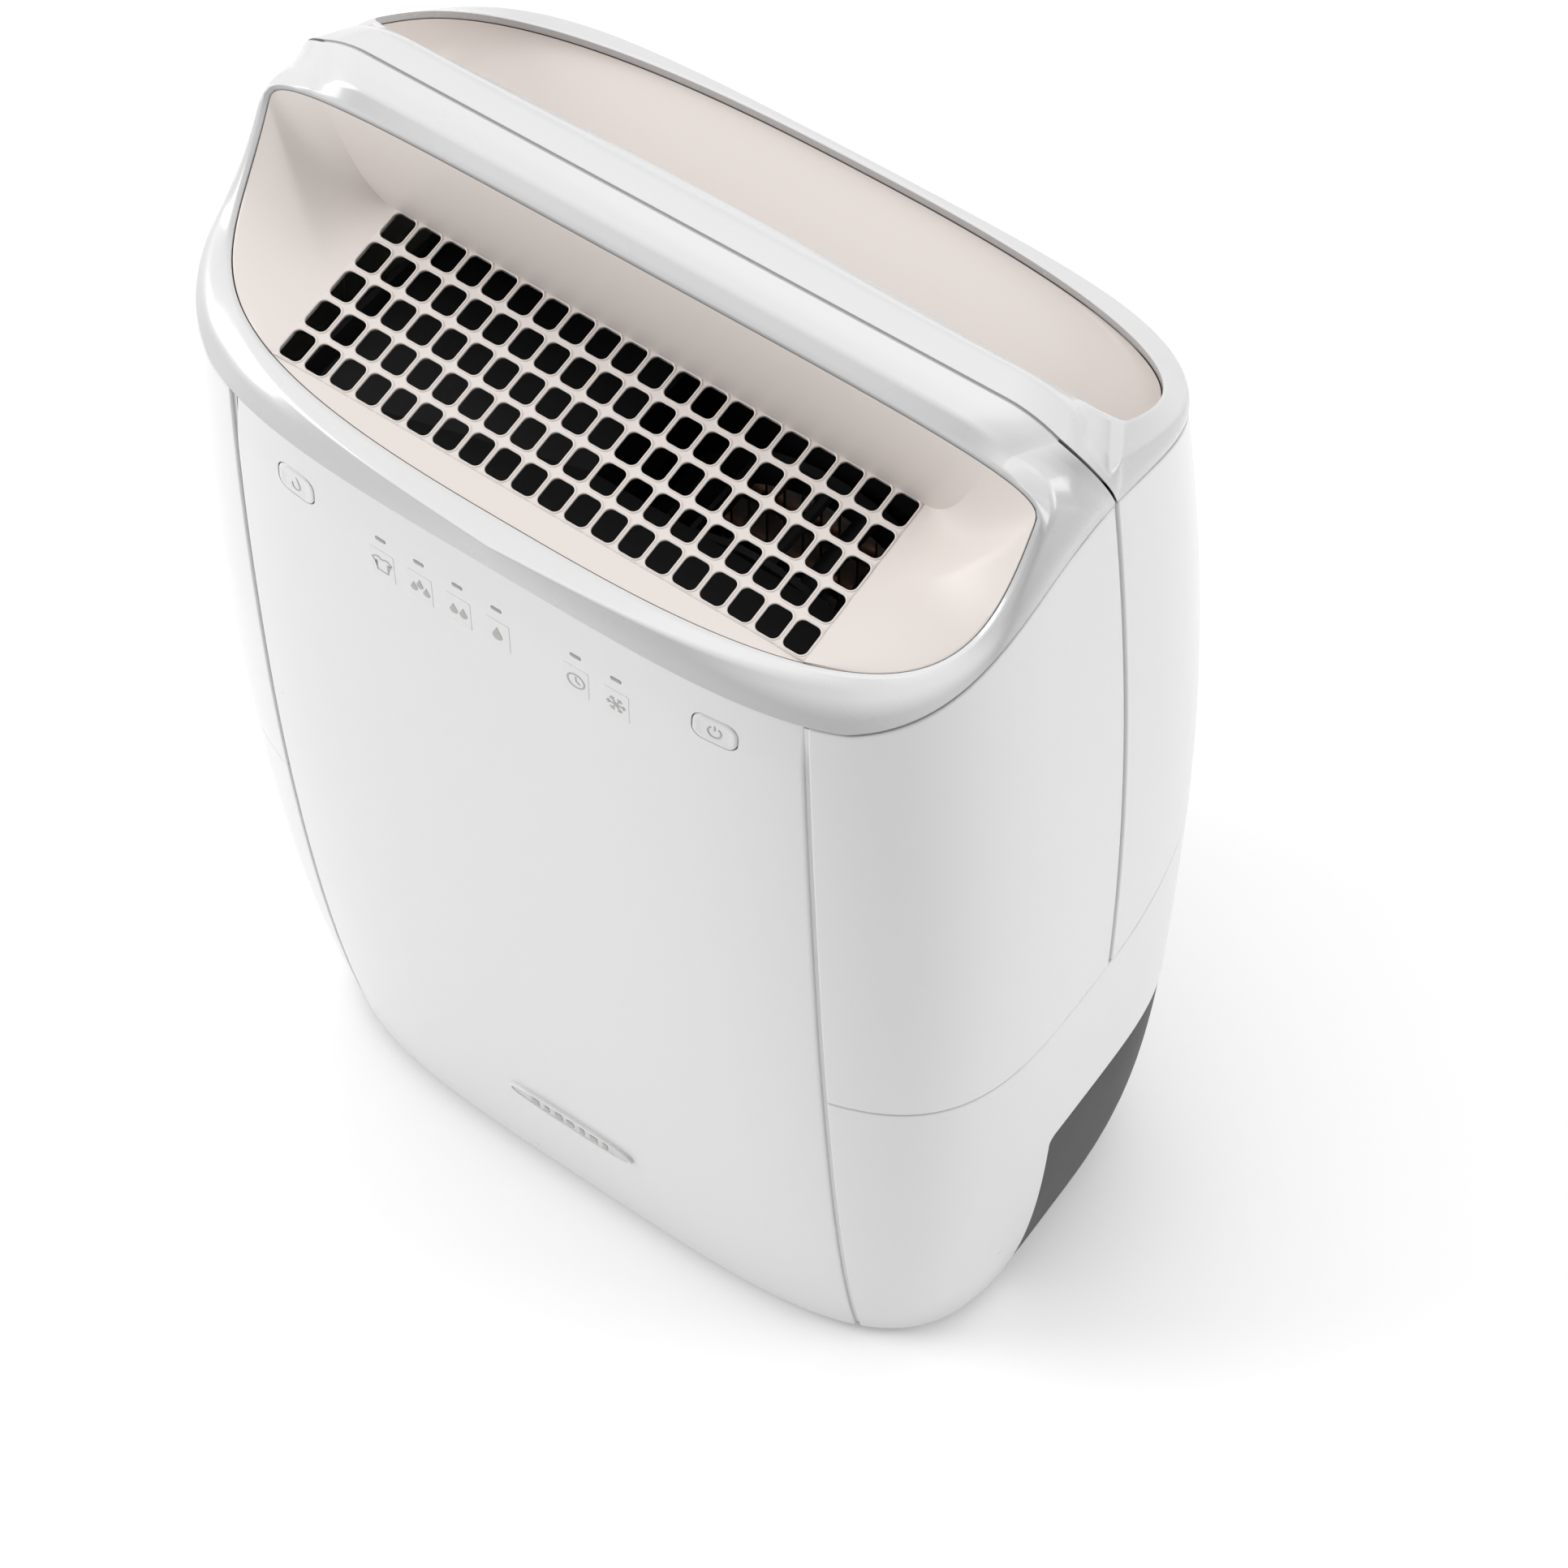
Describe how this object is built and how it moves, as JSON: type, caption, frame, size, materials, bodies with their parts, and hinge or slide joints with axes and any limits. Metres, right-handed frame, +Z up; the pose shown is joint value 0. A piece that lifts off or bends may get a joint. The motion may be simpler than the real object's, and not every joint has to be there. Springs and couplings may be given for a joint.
{
  "type": "dehumidifier",
  "caption": "Upright compressor dehumidifier with a gridded top air outlet, rear hand scoop, front controls, lift-off rear intake filter and a pull-out water tank with float.",
  "frame": {"origin": "centre of the footprint box, on the floor under the rubber feet", "axes": "+Z up, -Y is the control panel side, +X is the right-hand side seen from the front"},
  "size_m": [0.335, 0.21, 0.5],
  "materials": {
    "white_shell": "gloss moulded, faint orange peel",
    "bezel_shell": "gloss moulded, smoother than the shells",
    "white_button": "gloss moulded",
    "badge_gloss": "gloss",
    "icon_print": "satin printed film",
    "cream_inner": "fine satin",
    "inner_plastic": "satin",
    "grille_plastic": "satin",
    "smoke_plastic": "smoked, semi-gloss",
    "black_plastic": "fine grain",
    "fan_plastic": "satin",
    "black_rubber": "matt",
    "compressor_paint": "semi-gloss enamel",
    "zinc_steel": "zinc plated",
    "polished_steel": "ground",
    "fin_aluminium": "thin rolled fins",
    "copper_tube": "drawn copper, slightly dull",
    "circuit_board": "solder mask",
    "capacitor_can": "satin can",
    "lamp_lens": "frosted clear",
    "lamp_white": "phosphor",
    "mesh_nylon": "woven nylon"
  },
  "bodies": {
    "housing": {"front_panel": "white_shell", "side_shell_left": "white_shell", "side_shell_right": "white_shell", "rear_cover": "white_shell", "base_housing": "white_shell", "base_limb_left": "white_shell", "base_limb_right": "white_shell", "outlet_bezel": "bezel_shell", "outlet_funnel": "cream_inner", "outlet_grille": "cream_inner", "handle_frame": "bezel_shell", "rear_scoop": "cream_inner", "base_plate": "black_plastic", "mid_deck": "inner_plastic", "bay_wall": "inner_plastic", "rubber_feet": "black_rubber", "base_screws": "zinc_steel", "badge": "badge_gloss", "icon_plates": "icon_print", "light_pipes": "lamp_lens", "display_board": "circuit_board", "lamp_chips": "lamp_white", "tact_switches": "black_plastic", "control_box": "black_plastic", "control_board": "circuit_board", "run_capacitor": "capacitor_can", "compressor": "compressor_paint", "compressor_grommets": "black_rubber", "compressor_bolts": "zinc_steel", "terminal_cover": "black_plastic", "evaporator": "fin_aluminium", "evaporator_tubes": "copper_tube", "condenser": "fin_aluminium", "condenser_tubes": "copper_tube", "discharge_pipe": "copper_tube", "suction_pipe": "copper_tube", "filter_drier": "copper_tube", "drip_tray": "inner_plastic", "scroll_housing": "black_plastic", "outlet_duct": "black_plastic", "fan_motor": "zinc_steel", "motor_bracket": "zinc_steel", "motor_screws": "zinc_steel", "tank_switch": "black_plastic", "humidity_sensor": "circuit_board", "drain_outlet": "grille_plastic", "cord_inlet": "black_rubber"},
    "tank": {"water_tank": "smoke_plastic", "tank_lid": "smoke_plastic", "float_pin": "polished_steel"},
    "float": {"float_arm": "inner_plastic", "float_magnet": "polished_steel"},
    "filter": {"intake_grille": "grille_plastic", "filter_mesh": "mesh_nylon"},
    "fan": {"fan_shaft": "polished_steel", "impeller": "fan_plastic", "hub_nut": "zinc_steel"},
    "mode_key": {"mode_button": "white_button"},
    "power_key": {"power_button": "white_button"},
    "plug": {"drain_plug": "black_rubber"}
  },
  "joints": [
    {"name": "tank_slide", "type": "slide", "parent": "housing", "child": "tank", "axis": [0, 1, 0], "range_m": [0, 0.135]},
    {"name": "float_swing", "type": "hinge", "parent": "tank", "child": "float", "pos_m": [-0.07, 0, 0.104], "axis": [1, 0, 0], "range_deg": [0, 13]},
    {"name": "filter_pull", "type": "slide", "parent": "housing", "child": "filter", "axis": [0, 1, 0], "range_m": [0, 0.03]},
    {"name": "fan_spin", "type": "hinge", "parent": "housing", "child": "fan", "pos_m": [0.042, -0.03, 0.318], "axis": [0, 1, 0], "continuous": true},
    {"name": "mode_press", "type": "slide", "parent": "housing", "child": "mode_key", "axis": [0, 1, 0], "range_m": [0, 0.001], "stiffness_N_per_m": 600},
    {"name": "power_press", "type": "slide", "parent": "housing", "child": "power_key", "axis": [0, 1, 0], "range_m": [0, 0.001], "stiffness_N_per_m": 600},
    {"name": "plug_pull", "type": "slide", "parent": "housing", "child": "plug", "axis": [0, 1, 0], "range_m": [0, 0.02]}
  ]
}
